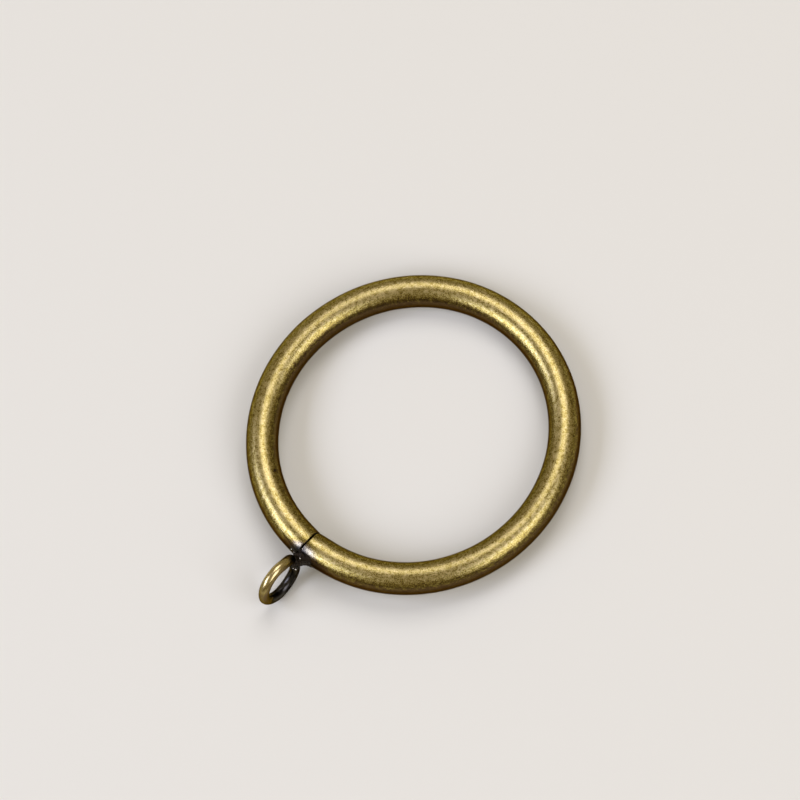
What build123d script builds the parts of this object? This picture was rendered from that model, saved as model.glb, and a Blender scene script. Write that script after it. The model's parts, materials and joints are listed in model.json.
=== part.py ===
# Eyelet curtain ring: a hoop of round tube with a small wire eyelet welded over its seam.
# Each piece is modelled in the hoop's own plane, with the eyelet towards -Y, and is then
# laid down as the ring comes to rest: on the eyelet and on the far side of the hoop.
import os
from math import asin, atan, cos, degrees, sin, sqrt, tan

from build123d import *

# Driving dimensions, in millimetres
ROD_OPENING = 50.0      # clear width inside the hoop, where the curtain rod passes
TUBE_DIAMETER = 6.0     # outside of the tube that the hoop is bent from
END_STRAIGHT = 3.5      # last stretch of the tube that stays straight on each side of the seam
SEAM_GAP = 0.2          # between the tube's two cut ends
SEAM_BEVEL = 0.15       # worn rim of each cut end
EYELET_HOLE = 6.2       # clear width inside the eyelet, where the curtain hook passes
WIRE_DIAMETER = 2.0     # of the eyelet's wire
ROOT_GAP = 0.4          # between the tube and the eyelet's wire, bridged by the weld
WELD_LENGTH = 4.6       # of the weld along the tube, from toe to toe
WELD_HEIGHT = 4.3       # of the weld across the tube, from toe to toe
WELD_NECK_HEIGHT = 2.6  # of the weld where it closes on the wire, along the wire
WELD_NECK_INSET = 0.2   # from the wire's side to the edge of the weld's buried end
WELD_CLIMB = 0.5        # how far the weld's buried end lies past the middle of the wire
WELD_BURY = 0.3         # how far the weld's flare starts below its toe, inside the tube
WELD_SECTIONS = 5       # oval sections that the weld's flare is drawn through

# Sizes that follow
tube_radius = TUBE_DIAMETER / 2
wire_radius = WIRE_DIAMETER / 2
hoop_radius = ROD_OPENING / 2 + tube_radius
eyelet_radius = EYELET_HOLE / 2 + wire_radius
eyelet_outer_radius = eyelet_radius + wire_radius

# The straight ends leave the circle this far round from the seam, and carry the tube
# out to a faint point there, so everything on the seam lies further out by this factor
end_turn = atan(END_STRAIGHT / hoop_radius)
seam_stretch = 1 / cos(end_turn)
seam_reach = (hoop_radius + tube_radius) * seam_stretch
wire_root = seam_reach + ROOT_GAP
eyelet_reach = wire_root + wire_radius + eyelet_radius

# The eyelet stands taller than the tube, so the ring rests with the eyelet's end raised
lean = asin((eyelet_outer_radius - tube_radius) / (hoop_radius + eyelet_reach))
at_rest = Rot(-degrees(lean), 0, 0)


def bent_tube(gap):
    """Tube bent round a circle, then straight on both sides up to two faces this gap apart."""
    start = degrees(end_turn) - 90
    section = Plane.XZ * Pos(hoop_radius, 0) * Circle(tube_radius)
    bend = Rot(0, 0, start) * revolve(section, Axis.Z, 360 - 2 * degrees(end_turn))

    outward = Vector(sin(end_turn), -cos(end_turn), 0)
    towards_seam = Vector(-cos(end_turn), -sin(end_turn), 0)
    bend_end = Plane(outward * hoop_radius, x_dir=outward, z_dir=towards_seam)
    end = extrude(bend_end * Circle(tube_radius), END_STRAIGHT + tube_radius * tan(end_turn))
    end = split(end, bisect_by=Plane.YZ.offset(gap / 2), keep=Keep.TOP)
    return bend + end + mirror(end, about=Plane.YZ)


def make_hoop():
    """Bent tube, open at its seam, with the rims of its two cut ends worn to a bevel."""
    tube = bent_tube(SEAM_GAP)
    seam_faces = tube.faces().filter_by(Axis.X)
    return chamfer(seam_faces.edges(), SEAM_BEVEL)


def make_eyelet():
    """Closed ring of wire, standing square to the hoop's plane."""
    return Pos(0, -eyelet_reach, 0) * Rot(0, 90, 0) * Torus(eyelet_radius, wire_radius)


def make_weld(eyelet):
    """Hollow flare of ovals, wide on the tube and closing on the wire, less both of them."""
    toe_along = WELD_LENGTH / 2
    toe_across = WELD_HEIGHT / 2
    neck_along = wire_radius - WELD_NECK_INSET
    neck_across = WELD_NECK_HEIGHT / 2
    along_toe_reach = seam_reach - toe_along * tan(end_turn)
    across_toe_reach = (hoop_radius + sqrt(tube_radius**2 - toe_across**2)) * seam_stretch
    base_reach = across_toe_reach - WELD_BURY
    neck_reach = wire_root + wire_radius + WELD_CLIMB

    def half_width(reach, toe, toe_reach, neck):
        """Parabola that stands upright at the neck and passes through the toe."""
        return neck + (toe - neck) * ((neck_reach - reach) / (neck_reach - toe_reach)) ** 2

    sections = []
    for step in range(WELD_SECTIONS):
        reach = base_reach + (neck_reach - base_reach) * step / (WELD_SECTIONS - 1)
        along = half_width(reach, toe_along, along_toe_reach, neck_along)
        across = half_width(reach, toe_across, across_toe_reach, neck_across)
        level = Plane((0, -reach, 0), x_dir=(1, 0, 0), z_dir=(0, -1, 0))
        sections.append(level * Ellipse(along, across))
    return loft(sections) - bent_tube(0) - eyelet


hoop = make_hoop()
eyelet = make_eyelet()
weld = make_weld(eyelet)

os.makedirs("parts", exist_ok=True)
export_step(at_rest * hoop, "parts/hoop.step")
export_step(at_rest * eyelet, "parts/wire_eyelet.step")
export_step(at_rest * weld, "parts/weld_bead.step")
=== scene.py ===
# %% [markdown]
# # A curtain ring with an eyelet
#
# The real ring is three pieces of metal. A tube is bent into a hoop until its two cut ends
# all but meet, a loop of wire makes the eyelet that takes the curtain hook, and one small weld
# joins the eyelet to the hoop, just over the seam. Tube and wire are plated in antique brass,
# and the weld has burnt the plating around it.
#
# A CAD model of the ring already has the right sizes, so the script starts by loading it. The
# pieces made below stand in the same places, and only their surfaces are finer.

# %% Load the CAD model
import json
import math

import bpy
import numpy as np
from mathutils import Matrix, Vector


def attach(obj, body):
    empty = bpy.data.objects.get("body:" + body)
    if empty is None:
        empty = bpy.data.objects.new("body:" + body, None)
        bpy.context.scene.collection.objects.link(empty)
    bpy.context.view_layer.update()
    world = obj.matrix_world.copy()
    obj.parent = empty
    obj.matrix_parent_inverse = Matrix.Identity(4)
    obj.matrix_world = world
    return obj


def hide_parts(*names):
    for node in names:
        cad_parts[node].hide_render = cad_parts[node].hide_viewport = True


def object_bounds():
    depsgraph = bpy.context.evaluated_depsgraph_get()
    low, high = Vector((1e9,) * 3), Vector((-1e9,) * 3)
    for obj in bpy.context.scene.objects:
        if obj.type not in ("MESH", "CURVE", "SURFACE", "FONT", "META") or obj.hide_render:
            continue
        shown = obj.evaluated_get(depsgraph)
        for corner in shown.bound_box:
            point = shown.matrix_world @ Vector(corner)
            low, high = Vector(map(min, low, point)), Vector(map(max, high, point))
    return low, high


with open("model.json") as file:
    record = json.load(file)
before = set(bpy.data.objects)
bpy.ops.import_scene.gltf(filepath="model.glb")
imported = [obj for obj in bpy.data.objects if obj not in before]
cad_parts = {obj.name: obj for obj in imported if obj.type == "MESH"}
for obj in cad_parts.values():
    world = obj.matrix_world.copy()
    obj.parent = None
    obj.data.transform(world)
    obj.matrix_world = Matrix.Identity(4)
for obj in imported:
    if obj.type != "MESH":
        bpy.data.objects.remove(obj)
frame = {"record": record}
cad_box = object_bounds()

MM = 0.001
print("CAD box in mm:", [[round(value / MM, 2) for value in corner] for corner in cad_box])

# %% [markdown]
# ## Sizes and directions
#
# The ring's two openings are stated in the model's record: the hole that the rod passes
# through and the hole of the eyelet. Their radii and depths give both round sections, the
# tube's and the wire's. The record doesn't state the smaller sizes, such as the weld's, so
# those are repeated further down.
#
# The ring doesn't lie level. The eyelet stands taller than the tube, so its end is raised a
# little. It is easiest to work in the hoop's own plane and to turn each finished piece into
# place at the end, with three unit vectors: across the eyelet, away from it, and along the
# hoop's axis. Left and right below are as seen from above, with the eyelet nearest.

# %% Read the sizes
mounts = {mount["name"]: mount for mount in frame["record"]["mounts"]}
rod_opening = mounts["rod_opening"]
eyelet_hole = mounts["eyelet_hole"]

tube_radius = rod_opening["dims"]["length_mm"] / 2 * MM
hoop_radius = rod_opening["dims"]["r_mm"] * MM + tube_radius
wire_radius = eyelet_hole["dims"]["length_mm"] / 2 * MM
eyelet_radius = eyelet_hole["dims"]["r_mm"] * MM + wire_radius

sideways = np.array([1.0, 0.0, 0.0])
hoop_axis = np.array(rod_opening["axis"])
away = np.cross(hoop_axis, sideways)
hoop_frame = np.stack([sideways, away, hoop_axis])
eyelet_reach = -np.array(eyelet_hole["pos_m"]) @ away


def at_rest(points):
    """Points of the hoop's own plane, turned to where the ring lies: a sum of three unit vectors."""
    return points @ hoop_frame


print(f"hoop radius {hoop_radius / MM:.1f} mm, tube radius {tube_radius / MM:.1f} mm")
print(f"eyelet radius {eyelet_radius / MM:.1f} mm, wire radius {wire_radius / MM:.1f} mm")

# %% [markdown]
# ## The hoop
#
# A tube bender lets go of the last few millimetres of a tube, so they stay straight, and the
# two ends meet at a faint point instead of on the circle. The cut ends are flat, and their
# rims are rounded by the tumbling that comes before plating.
#
# Blender could sweep a round bevel along a curve, or a torus could be cut open. Here every
# piece is a grid of points instead: one parameter runs along the piece and one around it. That
# gives the full say over ends, dents and lumps, and numpy works out all points at once.
#
# One formula covers the whole half hoop. A point sits on a circle around the centre line. On
# the bend, that circle turns about the hoop's axis. On the straight end, each line of the
# tube runs on until it meets the seam's plane, so lines on the outside run further. The rim
# is a quarter of a small circle, and the flat end closes to a pole. The other half is the
# mirror image. Each row of points needs four numbers, so these come first.

# %% Hoop: the rows
END_STRAIGHT = 3.5 * MM
LIP_RADIUS = 0.18 * MM
BEND_ROWS = 340
STRAIGHT_ROWS = 18
LIP_ROWS = 6
FACE_SHARES = np.array([0.75, 0.5, 0.25])

end_turn = math.atan(END_STRAIGHT / hoop_radius)


def row_block(rows, turn, share, back_off, size):
    """Rows of half the hoop: turn from the seam, share of the straight end, step off its face, radius."""
    values = (turn, share, back_off, size)
    return np.stack([np.broadcast_to(value, rows) for value in values], axis=-1)


bend_turn = np.linspace(math.pi, end_turn, BEND_ROWS)
straight_share = np.linspace(0, 1, STRAIGHT_ROWS + 2)[1:-1]
lip_turn = np.linspace(0, math.pi / 2, LIP_ROWS)
lip_back = LIP_RADIUS * (1 - np.sin(lip_turn))
lip_size = tube_radius - LIP_RADIUS * (1 - np.cos(lip_turn))
face_size = (tube_radius - LIP_RADIUS) * FACE_SHARES
half_hoop = np.concatenate([
    row_block(BEND_ROWS, bend_turn, 0, LIP_RADIUS, tube_radius),
    row_block(STRAIGHT_ROWS, end_turn, straight_share, LIP_RADIUS, tube_radius),
    row_block(LIP_ROWS, end_turn, 1, lip_back, lip_size),
    row_block(len(face_size), end_turn, 1, 0, face_size),
])
whole_hoop = np.concatenate([half_hoop[::-1], half_hoop[1:]])
turn, share, back_off, size = whole_hoop.T[..., None]
mirror = np.where(np.arange(len(whole_hoop)) < len(half_hoop), 1.0, -1.0)[:, None]
print(f"hoop: {len(whole_hoop)} rows, straight ends turned by {math.degrees(end_turn):.1f} degrees")

# %% [markdown]
# Two formulas return in several pieces. A fade leads a value softly from 0 to 1, so that no
# edge shows where a change starts. A ripple gives the slight unevenness of bent and melted
# metal. Blender's Displace modifier could do that too, but sine waves in numpy leave a finished
# mesh, and a seed keeps them the same on every run.

# %% Fade and ripple
RIPPLE_WAVES = 24


def fade(values, start, end):
    """Smooth step: 0 before start, 1 after end, and 3 s^2 - 2 s^3 of the share s between them."""
    share = np.clip((values - start) / (end - start), 0, 1)
    return share * share * (3 - 2 * share)


def ripple(points, wavelength, seed):
    """Smooth lumps: a sum of sine waves of one length in random directions, about -1 to 1."""
    random = np.random.default_rng(seed)
    directions = random.normal(size=(RIPPLE_WAVES, 3))
    directions /= np.linalg.norm(directions, axis=1, keepdims=True)
    phases = random.uniform(0, math.tau, RIPPLE_WAVES)
    turns = points @ directions.T * (math.tau / wavelength) + phases
    return np.sin(turns).sum(axis=-1) / math.sqrt(RIPPLE_WAVES)


print("a fade at its quarters:", fade(np.linspace(0, 1, 5), 0, 1))

# %% [markdown]
# The ends of the real tube don't quite meet. The left one stands a hair further out and is a
# little swollen. The cut between them lies to the left of the middle, and its line wavers.
# These faults of bench work are too small for the CAD model. They could be sculpted, but they
# are easy to add to the formula: a step and a swelling that fade away along the left half, and
# a wave in the place of the cut.

# %% Hoop: the surface
TUBE_COLUMNS = 112
TUBE_WAVE = 0.008 * MM
TUBE_WAVE_LENGTH = 9 * MM
SEAM_GAP = 0.2 * MM
SEAM_STEP = 0.14 * MM
SEAM_SWELL = 0.09 * MM
STEP_TURN = math.radians(60)
SEAM_SHIFT = -0.20 * MM
SEAM_WANDER = 0.09 * MM
WANDER_WAVES = 4
WANDER_START = math.radians(50)

left_end = np.where(mirror < 0, 1 - fade(turn, end_turn, STEP_TURN), 0)
step_out = SEAM_STEP * left_end
around = np.linspace(0, math.tau, TUBE_COLUMNS, endpoint=False)[None, :]
outward = size * np.cos(around)
height = size * np.sin(around)


def hoop_points(outward, height):
    """Turn the section about the axis, then run it along the straight end as far as the seam's plane."""
    reach = hoop_radius + outward + step_out
    cut_wave = np.sin(WANDER_WAVES * np.arctan2(height, outward) + WANDER_START)
    cut = SEAM_SHIFT + SEAM_WANDER * cut_wave
    straight = reach * math.tan(end_turn) - (SEAM_GAP / 2 + mirror * cut) / math.cos(end_turn)
    run = share * (straight - back_off)
    x = mirror * (reach * np.sin(turn) - run * math.cos(end_turn))
    y = -reach * np.cos(turn) - run * math.sin(end_turn)
    along = mirror * (hoop_radius * (math.pi - turn) + run)
    return np.stack([x, y, height + 0 * x], axis=-1), along


smooth_hoop, along = hoop_points(outward, height)
swell = 1 + TUBE_WAVE / tube_radius * (ripple(smooth_hoop, TUBE_WAVE_LENGTH, seed=3) - 1)
swell = swell + SEAM_SWELL / tube_radius * left_end
hoop_grid, along = hoop_points(outward * swell, height * swell)
# The lay is a point's place across the section and along the tube, for the finish to read
hoop_lay = np.stack([outward + 0 * along, height + 0 * along, along], axis=-1) / MM

core_line, core_along = hoop_points(0 * size, 0 * size)
hoop_poles = core_line[[0, -1], 0]
pole_lay = np.stack([0 * core_along, 0 * core_along, core_along], axis=-1)[[0, -1], 0] / MM
print(f"tube between its cut ends: {np.ptp(core_along) / MM:.1f} mm along its middle")

# %% [markdown]
# The heat of the weld has left its mark on the hoop. Close to the weld the brass is burnt
# black, a breath of smoke lies to the right of it, and above it a patch has gone silvery. Such
# marks could be painted on in Blender's vertex paint, but a formula can be read and changed.
# Two numbers for each point say how far the scorch and the silver tint have gone, from 0 to 1,
# and the finish reads them later.

# %% Hoop: scorch, smoke and tint
SCORCH_CENTRE = -0.05 * MM
SCORCH_LENGTH = 3.1 * MM
SCORCH_CLIMB = 3.2 * MM
SCORCH_POWER = 1.1
SCORCH_FADE = (0.4, 2.2)
SMOKE_PLACE = (3.8 * MM, 0.9 * MM)
SMOKE_SIZE = (3.4 * MM, 1.5 * MM)
SMOKE_FADE = (0.3, 1.2)
SMOKE_DEPTH = 0.5
TINT_PLACE = (0.5 * MM, 3.0 * MM)
TINT_SIZE = (2.8 * MM, 1.2 * MM)
TINT_FADE = (0.0, 1.4)

climb = tube_radius * np.arctan2(height, outward)
near_seam = hoop_grid[..., 1] < 0


def oval_mark(place, half_size, limits):
    """Mark round a place: a fade of the distance along and over the tube, counted in half sizes."""
    beside = (hoop_grid[..., 0] - place[0]) / half_size[0]
    above = (climb - place[1]) / half_size[1]
    return np.where(near_seam, 1 - fade(np.hypot(beside, above), *limits), 0)


smoke = SMOKE_DEPTH * oval_mark(SMOKE_PLACE, SMOKE_SIZE, SMOKE_FADE)
tint = oval_mark(TINT_PLACE, TINT_SIZE, TINT_FADE)
beside_weld = np.abs(hoop_grid[..., 0] - SCORCH_CENTRE) / SCORCH_LENGTH
above_weld = np.abs(climb / SCORCH_CLIMB)
from_weld = (beside_weld**SCORCH_POWER + above_weld**SCORCH_POWER) ** (1 / SCORCH_POWER)
scorch = np.where(near_seam, 1 - fade(from_weld, *SCORCH_FADE), 0)
print("points with scorch, smoke and tint:", [int((mark > 0).sum()) for mark in (scorch, smoke, tint)])

# %% [markdown]
# Two more marks are black, and both are painted shade. The cut faces and rounded rims inside
# the narrow seam are painted black where the gap's shade falls, and a small dent is painted
# dark as its shade. At each point the strongest mark counts, so that no mark makes another
# one darker.

# %% Hoop: painted shade of the seam and of a dent
SEAM_SHADE_FADE = (0.5, 0.9)
DENT_PLACE = np.array([-14.27, -21.8, 2.28]) * MM
DENT_FADE = (0.12 * MM, 0.40 * MM)
DENT_SHADE_DEPTH = 0.8

# Painted shade: the cut faces and the rims inside the seam turn black
seam_shade = fade(share * (1 - back_off / LIP_RADIUS), *SEAM_SHADE_FADE)
# Painted shade: a small dark spot where a dent is
from_dent = np.linalg.norm(hoop_grid - DENT_PLACE, axis=-1)
dent_shade = DENT_SHADE_DEPTH * (1 - fade(from_dent, *DENT_FADE))
scorch = np.maximum(np.maximum(scorch, smoke), np.maximum(seam_shade, dent_shade))
print(f"nick: {from_dent.min() / MM:.2f} mm from the nearest point of the tube")

# %% [markdown]
# ## From a grid of points to a mesh
#
# A row of the grid is a closed ring of points, and quads join it to the next row. A torus
# joins its last row to its first. Any other piece ends in two poles, each a single point with
# a fan of triangles around it. Blender's bridge and fill tools could close the rows too, but
# faces worked out from the numbering leave no seam open.


# %% Faces of a grid
def grid_faces(rows, columns, joined):
    """Quads between each row and the next, and from the last row to the first if they are joined."""
    index = np.arange(rows * columns).reshape(rows, columns)
    beside = np.roll(index, -1, axis=1)
    above = np.roll(index, -1, axis=0)
    above_beside = np.roll(beside, -1, axis=0)
    quads = np.stack([index, beside, above_beside, above], axis=-1)
    if not joined:
        quads = quads[:-1]
    return quads.reshape(-1, 4)


def pole_faces(rows, columns):
    """Two fans: the first row meets the point that follows the grid, the last row the one after it."""
    ring = np.arange(columns)
    last_ring = ring + (rows - 1) * columns
    first_pole = np.full(columns, rows * columns)
    first = np.stack([np.roll(ring, -1), ring, first_pole], axis=-1)
    last = np.stack([last_ring, np.roll(last_ring, -1), first_pole + 1], axis=-1)
    return np.concatenate([first, last])


def with_poles(grid, poles):
    """Grid values in one list, followed by the values at its two poles."""
    return np.concatenate([grid.reshape(-1, *grid.shape[2:]), poles])


hoop_quads = grid_faces(*scorch.shape, joined=False)
hoop_fans = pole_faces(*scorch.shape)
print(f"hoop: {len(hoop_quads)} quads and {len(hoop_fans)} triangles")

# %% [markdown]
# A mesh looks right only if its faces point outwards. The volume that the faces enclose tells:
# it comes out below zero when they point inwards, and then every face is turned round. The
# numbers for the finish go into the mesh as attributes, with one value for each point.


# %% Hoop: the mesh
def enclosed_volume(points, triangles):
    """Sum of the box products of the corners, over 6: above zero where the faces point out."""
    a, b, c = (points[triangles[:, corner]] for corner in range(3))
    return np.einsum("ij,ij->i", a, np.cross(b, c)).sum() / 6


def make_piece(name, points, quads, fans, **attributes):
    """Mesh object with outward faces, smooth shading and one value of each attribute for each point."""
    triangles = np.concatenate([quads[:, :3], quads[:, [0, 2, 3]], fans])
    if enclosed_volume(points, triangles) < 0:
        quads, fans = quads[:, ::-1], fans[:, ::-1]
    mesh = bpy.data.meshes.new(name)
    mesh.from_pydata(points, [], quads.tolist() + fans.tolist())
    for attribute, values in attributes.items():
        if values.ndim == 2:
            kind, field = "FLOAT_VECTOR", "vector"
        else:
            kind, field = "FLOAT", "value"
        layer = mesh.attributes.new(attribute, kind, "POINT")
        layer.data.foreach_set(field, values.astype(np.float32).ravel())
    mesh.shade_smooth()
    piece = bpy.data.objects.new(name, mesh)
    bpy.context.scene.collection.objects.link(piece)
    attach(piece, "root")
    print(f"{name}: {len(points)} points, {len(triangles)} triangles")
    return piece


hoop = make_piece(
    "brass_hoop",
    at_rest(with_poles(hoop_grid, hoop_poles)),
    hoop_quads,
    hoop_fans,
    lay=with_poles(hoop_lay, pole_lay),
    # The poles lie on the cut faces, so they take the seam's painted shade
    scorch=with_poles(scorch, np.ones(2)),
    tint=with_poles(tint, np.zeros(2)),
)
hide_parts("hoop")

# %% [markdown]
# ## The eyelet
#
# The eyelet is a ring of wire that stands square to the hoop. It is a torus: a small circle
# carried around a larger one. Blender has a torus of its own, but this one has to give way.
# The two ends of the real wire seem to lie side by side at the root, so the torus is pushed to
# the left above the root and to the right below it. The eyelet also stands a little askew, as
# it was welded, so it is turned by about two degrees in two directions about its outer end.

# %% Eyelet: the surface
EYELET_ROWS = 400
WIRE_COLUMNS = 64
WIRE_WAVE = 0.014 * MM
WIRE_WAVE_LENGTH = 3.2 * MM
EYELET_YAW = math.radians(1.9)
EYELET_ROLL = math.radians(-2.4)
ROOT_TURN = math.radians(270)
UPPER_END = np.array([-0.45, 0.25]) * MM
LOWER_END = np.array([0.20, 0.0]) * MM
ENDS_PART = (ROOT_TURN - 0.15, ROOT_TURN + 0.25)
SPLAY_FADE = (0.25, 1.1)

ring_turn = np.linspace(0, math.tau, EYELET_ROWS, endpoint=False)[:, None]
wire_turn = np.linspace(0, math.tau, WIRE_COLUMNS, endpoint=False)[None, :]
wire_out = wire_radius * np.cos(wire_turn)
wire_side = wire_radius * np.sin(wire_turn)
upper = fade(ring_turn, *ENDS_PART)
near_root = 1 - fade(np.abs(ring_turn - ROOT_TURN), *SPLAY_FADE)
splay = near_root[..., None] * (LOWER_END + (UPPER_END - LOWER_END) * upper[..., None])


def eyelet_points(wire_out, wire_side):
    """Torus that turns from its top by the outer end to the root, then is splayed, rolled and yawed."""
    reach = eyelet_radius + wire_out
    x = wire_side + 0 * reach * ring_turn
    y = eyelet_radius - reach * np.sin(ring_turn)
    z = reach * np.cos(ring_turn)
    x, y = x + splay[..., 0], y + splay[..., 1]
    x, z = x + z * math.sin(EYELET_ROLL), z * math.cos(EYELET_ROLL) - x * math.sin(EYELET_ROLL)
    x, y = x - y * math.sin(EYELET_YAW), y * math.cos(EYELET_YAW) + x * math.sin(EYELET_YAW)
    return np.stack([x, y - eyelet_reach - eyelet_radius, z], axis=-1)


smooth_eyelet = eyelet_points(wire_out, wire_side)
swell = 1 + WIRE_WAVE / wire_radius * (ripple(smooth_eyelet, WIRE_WAVE_LENGTH, seed=5) - 1)
eyelet_grid = eyelet_points(wire_out * swell, wire_side * swell)
wire_along = eyelet_radius * ring_turn + 0 * wire_turn
eyelet_lay = np.stack([wire_out + 0 * ring_turn, wire_side + 0 * ring_turn, wire_along], axis=-1) / MM
print("eyelet in mm:", np.round(np.ptp(eyelet_grid.reshape(-1, 3), axis=0) / MM, 2))

# %% [markdown]
# The lower half of the wire has stayed black from the weld's heat, the outer end is brown, and
# the upper half is bright brass. Two materials could meet there, but only at a hard line. So
# each point says how black it is, by its turn around the ring, and a ripple moves the borders
# to and fro.

# %% Eyelet: where it is black
BLACK_FROM = math.radians(114)
BLACK_TO = math.radians(292)
BLACK_BLUR = math.radians(16)
BORDER_WANDER = 0.5 * BLACK_BLUR
BORDER_WAVE_LENGTH = 2.5 * MM
BROWN_FADE = (math.radians(20), math.radians(75))
BROWN_DEPTH = 0.44

black_turn = ring_turn + BORDER_WANDER * ripple(smooth_eyelet, BORDER_WAVE_LENGTH, seed=8)
black_start = fade(black_turn, BLACK_FROM - BLACK_BLUR, BLACK_FROM + BLACK_BLUR)
black_end = fade(black_turn, BLACK_TO - BLACK_BLUR, BLACK_TO + 2 * BLACK_BLUR)
brown = fade(black_turn, *BROWN_FADE) * (1 - fade(black_turn, BLACK_FROM, BLACK_TO))
scorch = np.maximum(black_start * (1 - black_end), BROWN_DEPTH * brown)

eyelet = make_piece(
    "brass_eyelet",
    at_rest(eyelet_grid.reshape(-1, 3)),
    grid_faces(EYELET_ROWS, WIRE_COLUMNS, joined=True),
    np.empty((0, 3), int),
    lay=eyelet_lay.reshape(-1, 3),
    scorch=scorch.ravel(),
    tint=0 * scorch.ravel(),
)
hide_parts("wire_eyelet")

# %% [markdown]
# ## The weld
#
# The weld is a small flare: wide where it grips the tube, hollow in the middle and narrow
# where it closes on the wire. It could be blended from metaballs, but an oval for each section
# gives the hollow curve directly. The oval's height follows a parabola and its length a cubic,
# which keeps the waist slim for longer. Both stand upright at the neck and pass through the
# toe. The puddle didn't set straight, so the neck lies to the left of the middle and the foot
# to the right.

# %% Weld: the surface
WELD_LENGTH = 4.6 * MM
WELD_HEIGHT = 4.3 * MM
WELD_NECK_LENGTH = 1.6 * MM
WELD_NECK_HEIGHT = 2.6 * MM
WELD_CLIMB = 0.5 * MM
WELD_BURY = 0.3 * MM
WELD_ROWS = 90
WELD_COLUMNS = 200
FOOT_SHIFT = 0.12 * MM
NECK_SHIFT = -0.22 * MM
PARABOLA, CUBIC = 2, 3

seam_reach = (hoop_radius + tube_radius) / math.cos(end_turn)
neck_reach = eyelet_reach - eyelet_radius + WELD_CLIMB
along_toe = seam_reach - WELD_LENGTH / 2 * math.tan(end_turn)
across_toe = hoop_radius + math.sqrt(tube_radius**2 - (WELD_HEIGHT / 2) ** 2)
across_toe = across_toe / math.cos(end_turn)
weld_reach = np.linspace(across_toe - WELD_BURY, neck_reach, WELD_ROWS)[:, None]
weld_turn = np.linspace(0, math.tau, WELD_COLUMNS, endpoint=False)[None, :]


def flare(toe, toe_reach, neck, power):
    """Power of the distance left to the neck: the neck's value there, the toe's at the toe."""
    return neck + (toe - neck) * ((neck_reach - weld_reach) / (neck_reach - toe_reach)) ** power


weld_x = flare(WELD_LENGTH, along_toe, WELD_NECK_LENGTH, CUBIC) / 2 * np.cos(weld_turn)
weld_x = weld_x + flare(FOOT_SHIFT, along_toe, NECK_SHIFT, PARABOLA)
weld_z = flare(WELD_HEIGHT, across_toe, WELD_NECK_HEIGHT, PARABOLA) / 2 * np.sin(weld_turn)
weld_grid = np.stack([weld_x, -weld_reach + 0 * weld_x, weld_z], axis=-1)
print(f"weld: {np.ptp(weld_reach) / MM:.1f} mm from its buried foot to its neck")

# %% [markdown]
# Melted metal never sets smooth, so lumps of two sizes push the surface in and out, away from
# the weld's middle and a little away from the hoop. A bump in the material would be cheaper,
# but the weld's outline shows the lumps too, so they are real shape.

# %% Weld: lumps
LUMP_WAVE, LUMP_HEIGHT = 1.5 * MM, 0.11 * MM
GRIT_WAVE, GRIT_HEIGHT = 0.45 * MM, 0.04 * MM
PUSH_OFF_HOOP = 0.5

push = np.stack([np.cos(weld_turn), -PUSH_OFF_HOOP + 0 * weld_turn, np.sin(weld_turn)], axis=-1)
lumps = LUMP_HEIGHT * ripple(weld_grid, LUMP_WAVE, seed=11)
lumps = lumps + GRIT_HEIGHT * ripple(weld_grid, GRIT_WAVE, seed=12)
weld_grid = weld_grid + lumps[..., None] * push
weld_poles = weld_grid[[0, -1]].mean(axis=1)

weld = make_piece(
    "weld",
    at_rest(with_poles(weld_grid, weld_poles)),
    grid_faces(WELD_ROWS, WELD_COLUMNS, joined=False),
    pole_faces(WELD_ROWS, WELD_COLUMNS),
    lay=with_poles(weld_grid, weld_poles) / MM,
)
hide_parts("weld_bead")

# %% [markdown]
# Sparks from the weld have stuck around it as bright round beads, each a small ball that is
# half sunk in the surface. They could be scattered at random, but the real ones are few, so
# each is given by the place where it landed and by its radius. It takes the nearest point of
# the surfaces as its centre, so it can't float. All beads share a shape and a finish, so they
# are one mesh.

# %% Weld: beads of spatter
BEAD_ROWS = 12
BEAD_COLUMNS = 24
# Each row is a landing place (x, y, z in the hoop's own plane) and a radius, in millimetres
BEADS = np.array([
    [0.57, -31.33, 1.68, 0.16],
    [-2.04, -30.97, 1.18, 0.15],
    [-1.21, -31.11, 1.37, 0.10],
    [-0.01, -29.83, 2.54, 0.14],
    [0.71, -33.14, -0.18, 0.19],
    [0.30, -33.29, 0.13, 0.11],
]) * MM

landings = np.concatenate([grid.reshape(-1, 3) for grid in (hoop_grid, eyelet_grid, weld_grid)])
gaps = np.linalg.norm(landings[None] - BEADS[:, None, :3], axis=-1)
bead_centres = landings[gaps.argmin(axis=1)]

bead_tilt = np.linspace(0, math.pi, BEAD_ROWS + 2)[1:-1, None]
bead_turn = np.linspace(0, math.tau, BEAD_COLUMNS, endpoint=False)[None, :]
ball_grid = np.stack([
    np.sin(bead_tilt) * np.cos(bead_turn),
    np.sin(bead_tilt) * np.sin(bead_turn),
    np.cos(bead_tilt) + 0 * bead_turn,
], axis=-1)
ball = with_poles(ball_grid, np.array([[0, 0, 1.0], [0, 0, -1.0]]))
bead_points = bead_centres[:, None] + BEADS[:, 3, None, None] * ball
first_point = len(ball) * np.arange(len(BEADS))[:, None, None]
bead_quads = first_point + grid_faces(BEAD_ROWS, BEAD_COLUMNS, joined=False)
bead_fans = first_point + pole_faces(BEAD_ROWS, BEAD_COLUMNS)
spatter = make_piece(
    "weld_spatter",
    at_rest(bead_points.reshape(-1, 3)),
    bead_quads.reshape(-1, 4),
    bead_fans.reshape(-1, 3),
)
print("beads moved onto the surface by, in mm:", np.round(gaps.min(axis=1) / MM, 2))
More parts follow.
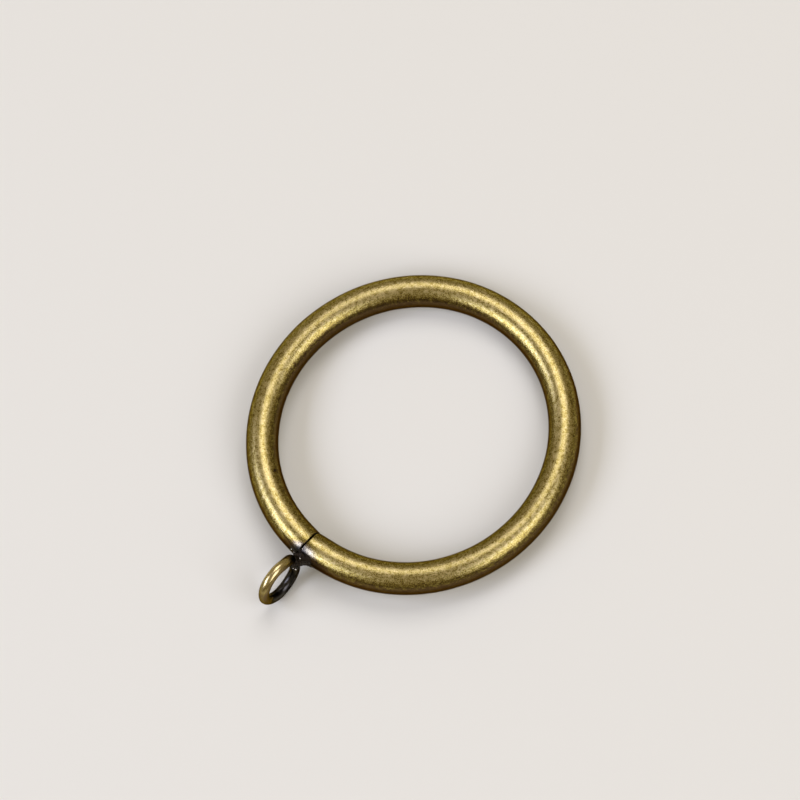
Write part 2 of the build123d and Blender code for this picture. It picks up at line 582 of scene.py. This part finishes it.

# %% [markdown]
# ## Antique brass
#
# Antique brass is a plated coat that is darkened in a bath and then tumbled. The dark stays in
# the pits, and the high spots shine through. Two shaders could be mixed, one for the dark coat
# and one for bare metal. Here it is a single metal shader whose colour runs from dark pits over
# brown patina and olive to worn gold, because the real coat has every tone between the two.
#
# Three noise patterns add up to say how worn a spot is: fine specks, streaks that run along
# the tube, and broad patches. They read the attribute named lay, which counts millimetres
# across the section and along the piece, so the streaks follow the bend.

# %% Brass: specks, streaks and patches
SPECK_SHARE, STREAK_SHARE, PATCH_SHARE = 0.64, 0.14, 0.22
SPECK_DETAIL, SPECK_ROUGHNESS = 4, 0.9
STREAK_SCALE, STREAK_STRETCH, STREAK_DETAIL = 0.8, 4, 2
PATCH_SCALE, PATCH_DETAIL = 0.3, 3


def noise(tree, place, scale, detail, stretch=1.0, roughness=0.6):
    """Noise with this many features to a unit of place, drawn out by the stretch in its third direction."""
    mapping = tree.nodes.new("ShaderNodeMapping")
    mapping.inputs["Scale"].default_value = (1, 1, 1 / stretch)
    tree.links.new(place, mapping.inputs["Vector"])
    node = tree.nodes.new("ShaderNodeTexNoise")
    node.inputs["Scale"].default_value = scale
    node.inputs["Detail"].default_value = detail
    node.inputs["Roughness"].default_value = roughness
    tree.links.new(mapping.outputs["Vector"], node.inputs["Vector"])
    return node.outputs["Fac"]


def brass_patterns(tree, lay, speck):
    """Three noises sized by the speck in mm: specks, drawn-out streaks and patches three times as wide."""
    specks = noise(tree, lay, 1 / speck, SPECK_DETAIL, roughness=SPECK_ROUGHNESS)
    streaks = noise(tree, lay, STREAK_SCALE / speck, STREAK_DETAIL, stretch=STREAK_STRETCH)
    patches = noise(tree, lay, PATCH_SCALE / speck, PATCH_DETAIL)
    return specks, streaks, patches


print(f"shares of the three patterns: {SPECK_SHARE + STREAK_SHARE + PATCH_SHARE:.2f} in all")

# %% [markdown]
# The flanks are given painted shade, which makes them darker, and the outside of the section
# is given a painted reflection, which makes it a little brighter. A mask could be painted for
# that, but the attribute already tells how high and how far out in the section a spot lies.

# %% Brass: painted shade and reflection
# Painted reflection: the outside of the section is made a little brighter
OUTSIDE_FROM, OUTSIDE_TO, OUTSIDE_REFLECTION = 1.5, 3.0, 0.02


def spread(tree, socket, low, high, to_low, to_high):
    """Stretches a socket's values from one range to another, and stops at its ends."""
    node = tree.nodes.new("ShaderNodeMapRange")
    limits = {"From Min": low, "From Max": high, "To Min": to_low, "To Max": to_high}
    for name, value in limits.items():
        node.inputs[name].default_value = value
    tree.links.new(socket, node.inputs["Value"])
    return node.outputs["Result"]


def painted_shade_and_reflection(tree, lay, bright_at, dark_at, dark):
    """Painted shade: wear falls by dark from height bright_at to dark_at. Painted reflection outside."""
    section = tree.nodes.new("ShaderNodeSeparateXYZ")
    tree.links.new(lay, section.inputs["Vector"])
    height = tree.nodes.new("ShaderNodeMath")
    height.operation = "ABSOLUTE"
    tree.links.new(section.outputs["Y"], height.inputs[0])
    flanks = spread(tree, height.outputs[0], bright_at, dark_at, 0, -dark)
    outside = spread(tree, section.outputs["X"], OUTSIDE_FROM, OUTSIDE_TO, 0, OUTSIDE_REFLECTION)
    return flanks, outside


# Prints the painted reflection on the outside
print(f"wear on the outside: {OUTSIDE_REFLECTION} more from {OUTSIDE_TO} mm out")

# %% [markdown]
# A finish in Blender is a net of nodes. Three short functions add the nodes that join patterns
# and colours: a weighed sum, a ramp that turns a value into a colour, and a mix of two colours.
# Node groups could hold them as well, but functions keep the whole net in one place.

# %% Brass: sums, ramps and mixes
# On a Mix node for colours, these inputs are the share and the two colours
COLOUR_MIX_INPUTS = (0, 6, 7)
COLOUR_MIX_OUTPUT = 2


def weighed(tree, parts, start=0.0):
    """Sum of sockets, each times its weight, on top of a starting value."""
    total = None
    for socket, weight in parts:
        node = tree.nodes.new("ShaderNodeMath")
        node.operation = "MULTIPLY_ADD"
        tree.links.new(socket, node.inputs[0])
        node.inputs[1].default_value = weight
        if total is None:
            node.inputs[2].default_value = start
        else:
            tree.links.new(total, node.inputs[2])
        total = node.outputs[0]
    return total


def ramp(tree, socket, stops):
    """Colour ramp that runs straight from each (place, colour) stop to the next."""
    node = tree.nodes.new("ShaderNodeValToRGB")
    elements = node.color_ramp.elements
    for place, _ in stops[1:-1]:
        elements.new(place)
    for element, (place, colour) in zip(elements, stops):
        element.position = place
        element.color = (*colour, 1)
    tree.links.new(socket, node.inputs["Fac"])
    return node.outputs["Color"]


def mixed(tree, share, first, second):
    """Colour that goes from the first socket to the second as the share goes from 0 to 1."""
    node = tree.nodes.new("ShaderNodeMix")
    node.data_type = "RGBA"
    for socket, place in zip((share, first, second), COLOUR_MIX_INPUTS):
        tree.links.new(socket, node.inputs[place])
    return node.outputs[COLOUR_MIX_OUTPUT]


print("inputs of a colour mix:", COLOUR_MIX_INPUTS)

# %% [markdown]
# Heat changes the coat in steps. Where the tint number is high, the plating has gone silvery
# between dark specks. Where the darkening number is high near the weld, it is burnt to black
# soot with a dull scale; in the seam and at the dent the same black is painted shade. Painted
# borders would look cut out, so the specks are added to both numbers, and each border breaks
# up along the mottling of the coat.

# %% Brass: what heat does to it, and the painted shade
SILVER = (0.60, 0.54, 0.35)
# Soot near the weld, which is also the painted shade of the seam and the dent
SOOT_AND_SHADE = (0.011, 0.010, 0.008)
SCALE_AND_SHADE = (0.062, 0.058, 0.048)
SILVER_STOPS = [(0.40, SOOT_AND_SHADE), (0.52, SILVER)]
SOOT_AND_SHADE_STOPS = [(0.35, SOOT_AND_SHADE), (0.65, SCALE_AND_SHADE)]
TINT_SPECKS = 0.6
SILVER_FROM, SILVER_TO, SILVER_MOST = 0.42, 1.04, 0.80
DARK_SPECKS, DARK_PATCHES = 0.5, 0.2
DARK_FROM, DARK_TO = 0.79, 1.08


def attribute_of(tree, name, output):
    """One output of the named attribute of the mesh."""
    node = tree.nodes.new("ShaderNodeAttribute")
    node.attribute_name = name
    return node.outputs[output]


def with_tint_and_darkening(tree, brass, scorch, specks, streaks, patches):
    """Brass, silvered by the tint, then blackened to soot and painted shade by the darkening, with specks.
    """
    tinted = weighed(tree, [(attribute_of(tree, "tint", "Fac"), 1.0), (specks, TINT_SPECKS)])
    silvered = spread(tree, tinted, SILVER_FROM, SILVER_TO, 0, SILVER_MOST)
    ragged = weighed(tree, [(scorch, 1.0), (specks, DARK_SPECKS), (patches, DARK_PATCHES)])
    blackened = spread(tree, ragged, DARK_FROM, DARK_TO, 0, 1)
    plating = mixed(tree, silvered, brass, ramp(tree, specks, SILVER_STOPS))
    return mixed(tree, blackened, plating, ramp(tree, streaks, SOOT_AND_SHADE_STOPS))


# The same limits start the painted shade of the seam and the dent
print(f"soot starts at {DARK_FROM} and is full at {DARK_TO}")

# %% [markdown]
# Every net of nodes ends in a shader that is joined to the output. The specks and streaks are
# also felt as a fine relief. That relief is thinner than a sheet of paper, so a bump in the
# shading is enough for it, and the mesh stays light.

# %% Brass: shader and relief
RELIEF = 0.030 * MM
RELIEF_SPECKS, RELIEF_STREAKS = 0.6, 0.4


def new_material(name):
    """Empty node material with its principled shader joined to the output."""
    material = bpy.data.materials.new(name)
    material.use_nodes = True
    tree = material.node_tree
    tree.nodes.clear()
    output = tree.nodes.new("ShaderNodeOutputMaterial")
    shader = tree.nodes.new("ShaderNodeBsdfPrincipled")
    tree.links.new(shader.outputs["BSDF"], output.inputs["Surface"])
    return material, tree, shader


def bump(tree, shader, heights, depth):
    """Tilts the shading as if the surface rose by the height pattern times this depth."""
    node = tree.nodes.new("ShaderNodeBump")
    node.inputs["Strength"].default_value = 1.0
    node.inputs["Distance"].default_value = depth
    tree.links.new(heights, node.inputs["Height"])
    tree.links.new(node.outputs["Normal"], shader.inputs["Normal"])


print(f"relief of the brass: {RELIEF / MM:.2f} mm")

# %% [markdown]
# The finish puts all this together, the painted shade of the flanks and the painted reflection
# on the outside included. A little heat only browns the brass, so the darkening number is also
# taken from the wear. How rough a spot is follows its wear. At grazing angles a plain metal
# turns white. An edge tint keeps it brown there, because the rims of the real tube are dark.

# %% Brass: the finish
GOLD = (0.645, 0.535, 0.245)
PIT_AT, PATINA_AT, OLIVE_AT, GOLD_AT = 0.17, 0.36, 0.46, 0.58
EDGE_TINT = (0.44, 0.39, 0.28, 1)
NOISE_MIDDLE = 0.5


def brass_finish(name, browns, speck, mottle, wear, browning, roughness, flanks):
    """Ramp from browns to gold by patterns, painted shade and reflection, and darkening, round the wear."""
    material, tree, shader = new_material(name)
    lay = attribute_of(tree, "lay", "Vector")
    scorch = attribute_of(tree, "scorch", "Fac")
    specks, streaks, patches = brass_patterns(tree, lay, speck)
    flank_shade, outside_reflection = painted_shade_and_reflection(tree, lay, *flanks)
    wear_and_shade = weighed(tree, [
        (specks, SPECK_SHARE * mottle),
        (streaks, STREAK_SHARE * mottle),
        (patches, PATCH_SHARE * mottle),
        # Painted shade on the flanks and a painted reflection on the outside
        (flank_shade, 1.0),
        (outside_reflection, 1.0),
        # Darkening: heat near the weld, painted shade in the seam and at the dent
        (scorch, -browning),
    ], start=NOISE_MIDDLE * (1 - mottle) + wear)

    stops = list(zip((PIT_AT, PATINA_AT, OLIVE_AT, GOLD_AT), (*browns, GOLD)))
    colour = with_tint_and_darkening(tree, ramp(tree, wear_and_shade, stops), scorch, specks, streaks, patches)
    tree.links.new(colour, shader.inputs["Base Color"])
    shader.inputs["Metallic"].default_value = 1.0
    shader.inputs["Specular Tint"].default_value = EDGE_TINT
    tree.links.new(spread(tree, wear_and_shade, PATINA_AT, GOLD_AT, *roughness), shader.inputs["Roughness"])
    relief = weighed(tree, [(specks, RELIEF_SPECKS), (streaks, RELIEF_STREAKS)])
    bump(tree, shader, relief, RELIEF * mottle)
    return material


print(f"brass runs from pits at {PIT_AT} to gold at {GOLD_AT}")

# %% [markdown]
# The hoop is strongly mottled, with specks of a fifth of a millimetre. Its gold is scuffed and
# a little duller than the smooth patina, so the grain stays quiet inside a highlight. The
# drawn wire of the eyelet has larger and fainter specks, lighter browns and glossier gold. On
# the hoop the flanks that face sideways get painted shade, and on the wire the sides that face
# along its hole. One finish could serve both, but the two pieces really differ.

# %% Brass: on the hoop and on the eyelet
HOOP_BROWNS = [(0.044, 0.025, 0.010), (0.098, 0.058, 0.024), (0.315, 0.246, 0.046)]
WIRE_BROWNS = [(0.130, 0.088, 0.042), (0.170, 0.120, 0.056), (0.305, 0.230, 0.075)]
# Roughness of the patina and of the gold
HOOP_ROUGHNESS = (0.23, 0.33)
WIRE_ROUGHNESS = (0.28, 0.25)
# Painted shade: height in mm where it starts, height where it is full, and the wear it takes
HOOP_FLANKS = (2.75, 0.9, 0.24)
WIRE_FLANKS = (0.60, 0.95, 0.18)

hoop.data.materials.append(brass_finish(
    "antique_brass", HOOP_BROWNS, speck=0.20, mottle=1.05, wear=0.0, browning=0.30,
    roughness=HOOP_ROUGHNESS, flanks=HOOP_FLANKS))
eyelet.data.materials.append(brass_finish(
    "bright_brass", WIRE_BROWNS, speck=0.45, mottle=0.4, wear=0.05, browning=0.36,
    roughness=WIRE_ROUGHNESS, flanks=WIRE_FLANKS))
for piece in (hoop, eyelet):
    print(piece.name, "has a finish of", len(piece.data.materials[0].node_tree.nodes), "nodes")

# %% [markdown]
# ## Black weld
#
# The weld is scale and soot: almost black with a brown cast, glossy where it has run and dull
# where it is gritty. A picture of slag could be wrapped around it, but noise in the weld's own
# millimetres has no seam. Scale isn't bare metal, so this shader isn't a metal one, and its
# gloss is weak and warm.

# %% Finish: black weld
WELD_STOPS = [
    (0.30, (0.002, 0.0015, 0.001)),
    (0.52, (0.009, 0.006, 0.003)),
    (0.75, (0.05, 0.032, 0.014)),
]
GRAIN_SCALE, GRAIN_DETAIL, GRAIN_ROUGHNESS = 3.2, 4, 0.7
RUN_SCALE, RUN_DETAIL = 0.8, 2
RUN_FROM, RUN_TO = 0.35, 0.65
# Roughness where the weld has run and where it is gritty
WELD_ROUGHNESS = (0.22, 0.55)
WELD_SPECULAR = 0.12
WELD_SPECULAR_TINT = (1.0, 0.84, 0.62, 1)
WELD_RELIEF = 0.06 * MM
RELIEF_GRAINS, RELIEF_RUNS = 0.7, 0.3


def weld_finish():
    """Ramp over fine grains for the colour, broad runs for the roughness, and both for the relief."""
    material, tree, shader = new_material("black_weld")
    lay = attribute_of(tree, "lay", "Vector")
    grains = noise(tree, lay, GRAIN_SCALE, GRAIN_DETAIL, roughness=GRAIN_ROUGHNESS)
    runs = noise(tree, lay, RUN_SCALE, RUN_DETAIL)
    tree.links.new(ramp(tree, grains, WELD_STOPS), shader.inputs["Base Color"])
    roughness = spread(tree, runs, RUN_FROM, RUN_TO, *WELD_ROUGHNESS)
    tree.links.new(roughness, shader.inputs["Roughness"])
    shader.inputs["Specular IOR Level"].default_value = WELD_SPECULAR
    shader.inputs["Specular Tint"].default_value = WELD_SPECULAR_TINT
    relief = weighed(tree, [(grains, RELIEF_GRAINS), (runs, RELIEF_RUNS)])
    bump(tree, shader, relief, WELD_RELIEF)
    return material


weld.data.materials.append(weld_finish())
print("finish of the weld:", weld.data.materials[0].name)

# %% [markdown]
# The beads of spatter are bare steel, which is bright. One flat grey would do for most of them,
# but a soft change of tone makes them look less alike. It reads Object coordinates, which are
# plain places in space, because a bead has no length for a pattern to run along.

# %% Finish: bare steel
STEEL_STOPS = [(0.3, (0.46, 0.43, 0.36)), (0.7, (0.82, 0.77, 0.64))]
STEEL_SCALE, STEEL_DETAIL = 4 / MM, 1
STEEL_ROUGHNESS = 0.18


def bead_finish():
    """Ramp between two greys over a noise with four features to the millimetre."""
    material, tree, shader = new_material("bare_steel")
    place = tree.nodes.new("ShaderNodeTexCoord").outputs["Object"]
    tones = noise(tree, place, STEEL_SCALE, STEEL_DETAIL)
    tree.links.new(ramp(tree, tones, STEEL_STOPS), shader.inputs["Base Color"])
    shader.inputs["Metallic"].default_value = 1.0
    shader.inputs["Roughness"].default_value = STEEL_ROUGHNESS
    return material


spatter.data.materials.append(bead_finish())
print("finish of the beads:", spatter.data.materials[0].name)

# %% [markdown]
# ## Camera
#
# The picture looks down on the ring from about 68 degrees above its plane. Three directions
# describe the camera: towards it, and the picture's right and up. They come from the ring's
# own axes: a tilt about its long direction in the picture, and a roll of the picture. A camera
# can also be set by eye in the viewport, but worked out this way the ring's centre falls on a
# chosen pixel.

# %% Set the camera
CAMERA_AZIMUTH = math.radians(63.5)
CAMERA_TILT = math.radians(21.75)
CAMERA_ROLL = math.radians(23.03)
CAMERA_DISTANCE = 1.0
SENSOR_WIDTH = 36.0
PICTURE_WIDTH = 800
PIXELS_PER_MM = 5.4587
RING_CENTRE = (413.03, 433.63)

long_way = math.cos(CAMERA_AZIMUTH) * sideways + math.sin(CAMERA_AZIMUTH) * away
short_way = np.cross(hoop_axis, long_way)
to_camera = math.cos(CAMERA_TILT) * hoop_axis - math.sin(CAMERA_TILT) * short_way
level_up = np.cross(to_camera, long_way)
picture_right = math.cos(CAMERA_ROLL) * long_way - math.sin(CAMERA_ROLL) * level_up
picture_up = math.sin(CAMERA_ROLL) * long_way + math.cos(CAMERA_ROLL) * level_up

off_right, off_down = (pixel - PICTURE_WIDTH / 2 for pixel in RING_CENTRE)
aim = (off_down * picture_up - off_right * picture_right) / PIXELS_PER_MM * MM
camera_place = CAMERA_DISTANCE * to_camera


def facing(place, target, up):
    """Matrix that stands at a place, looks along -Z at the target and keeps +Y towards up."""
    back = Vector(place - target).normalized()
    right = Vector(up).cross(back).normalized()
    turned = Matrix([right, back.cross(right), back]).transposed()
    return Matrix.Translation(place) @ turned.to_4x4()


camera = bpy.data.objects.new("camera", bpy.data.cameras.new("camera"))
camera.matrix_world = facing(camera_place, aim, picture_up)
camera.data.sensor_width = SENSOR_WIDTH
camera.data.lens = PIXELS_PER_MM / MM * CAMERA_DISTANCE / PICTURE_WIDTH * SENSOR_WIDTH
bpy.context.scene.collection.objects.link(camera)
bpy.context.scene.camera = camera
print(f"lens {camera.data.lens:.0f} mm")

# %% [markdown]
# ## Light
#
# Polished tube shows its surroundings as long bright bands, so the lamps' places matter more
# than their strength. A picture of a studio could light the scene, but three soft boxes can
# each be moved on their own: one to the left of the camera, one to the right and one above.
# Each is a rectangle that faces the ring, and a little cool, which keeps the highlights on
# the brass pale.

# %% Place the soft boxes
LAMP_DISTANCE = 1.0


def soft_box(name, direction, width, height, brightness, tint, roll=0.0):
    """Lamp in a direction (picture right, up, to camera). Its power is pi times brightness times area."""
    towards = direction[0] * picture_right + direction[1] * picture_up + direction[2] * to_camera
    towards = towards / np.linalg.norm(towards)
    light = bpy.data.lights.new(name, "AREA")
    light.shape = "RECTANGLE"
    light.size, light.size_y = width, height
    light.energy = brightness * math.pi * width * height
    light.color = tint
    lamp = bpy.data.objects.new(name, light)
    lamp_up = math.cos(roll) * picture_up + math.sin(roll) * picture_right
    lamp.matrix_world = facing(LAMP_DISTANCE * towards, np.zeros(3), lamp_up)
    bpy.context.scene.collection.objects.link(lamp)
    print(f"{name}: {light.energy:.1f} W")


soft_box(
    "lamp_left", (-0.832, -0.056, 0.552), width=0.44, height=0.80, brightness=5.0,
    tint=(0.88, 0.94, 1.42), roll=math.radians(-10))
soft_box(
    "lamp_right", (0.478, -0.193, 0.857), width=0.58, height=0.78, brightness=3.1,
    tint=(0.96, 0.98, 1.33), roll=math.radians(-20))
soft_box(
    "lamp_top", (0.0, 0.735, 0.678), width=0.62, height=0.60, brightness=2.9,
    tint=(0.98, 0.97, 1.22))

# %% [markdown]
# ## Floor and surroundings
#
# The ring lies on plain pale paper, a little warm to balance the cool lamps. A flat plane would
# end in a horizon, so the paper rises at its far edge all the way round, like a photographer's
# sweep, and looks the same from any side. It is one more grid of points.

# %% Make the floor
FLOOR_RADIUS = 2.0
SWEEP_RADIUS = 0.8
FLAT_ROWS = 11
SWEEP_ROWS = 15
FLOOR_COLUMNS = 96

floor_level = cad_box[0].z
flat = np.linspace(0, 1, FLAT_ROWS + 1)[1:] * FLOOR_RADIUS
rise = np.linspace(0, math.pi / 2, SWEEP_ROWS + 1)[1:]
floor_reach = np.concatenate([flat, FLOOR_RADIUS + SWEEP_RADIUS * np.sin(rise)])[:, None]
floor_height = np.concatenate([0 * flat, SWEEP_RADIUS * (1 - np.cos(rise))])[:, None] + floor_level
floor_turn = -np.linspace(0, math.tau, FLOOR_COLUMNS, endpoint=False)[None, :]
floor_grid = np.stack([
    floor_reach * np.cos(floor_turn),
    floor_reach * np.sin(floor_turn),
    floor_height + 0 * floor_turn,
], axis=-1)
floor_quads = grid_faces(*floor_grid.shape[:2], joined=False)
floor_middle = np.arange(FLOOR_COLUMNS)[::-1]
floor_mesh = bpy.data.meshes.new("floor")
floor_mesh.from_pydata(floor_grid.reshape(-1, 3), [], floor_quads.tolist() + [floor_middle.tolist()])
floor_mesh.shade_smooth()
floor = bpy.data.objects.new("floor", floor_mesh)
bpy.context.scene.collection.objects.link(floor)
print(f"floor at {floor_level / MM:.2f} mm")

# %% [markdown]
# The paper is dull and has no gloss of its own, so that it shows nothing but the ring's shadow.
# An even, warm grey world fills the shadows and gives the metal something quiet to reflect. A
# gradient would do too, but it would tint the ring differently from each side.

# %% Paper and world
PAPER_COLOUR = (0.72, 0.71, 0.56, 1)
PAPER_ROUGHNESS = 0.9
PAPER_SPECULAR = 0.0
WORLD_COLOUR = (0.34, 0.28, 0.19, 1)

paper, tree, shader = new_material("pale_paper")
shader.inputs["Base Color"].default_value = PAPER_COLOUR
shader.inputs["Roughness"].default_value = PAPER_ROUGHNESS
shader.inputs["Specular IOR Level"].default_value = PAPER_SPECULAR
floor_mesh.materials.append(paper)

world = bpy.data.worlds.new("studio")
world.use_nodes = True
world.node_tree.nodes["Background"].inputs["Color"].default_value = WORLD_COLOUR
bpy.context.scene.world = world
bpy.context.scene.view_settings.view_transform = "Standard"
print("paper", PAPER_COLOUR[:3], "and world", WORLD_COLOUR[:3])
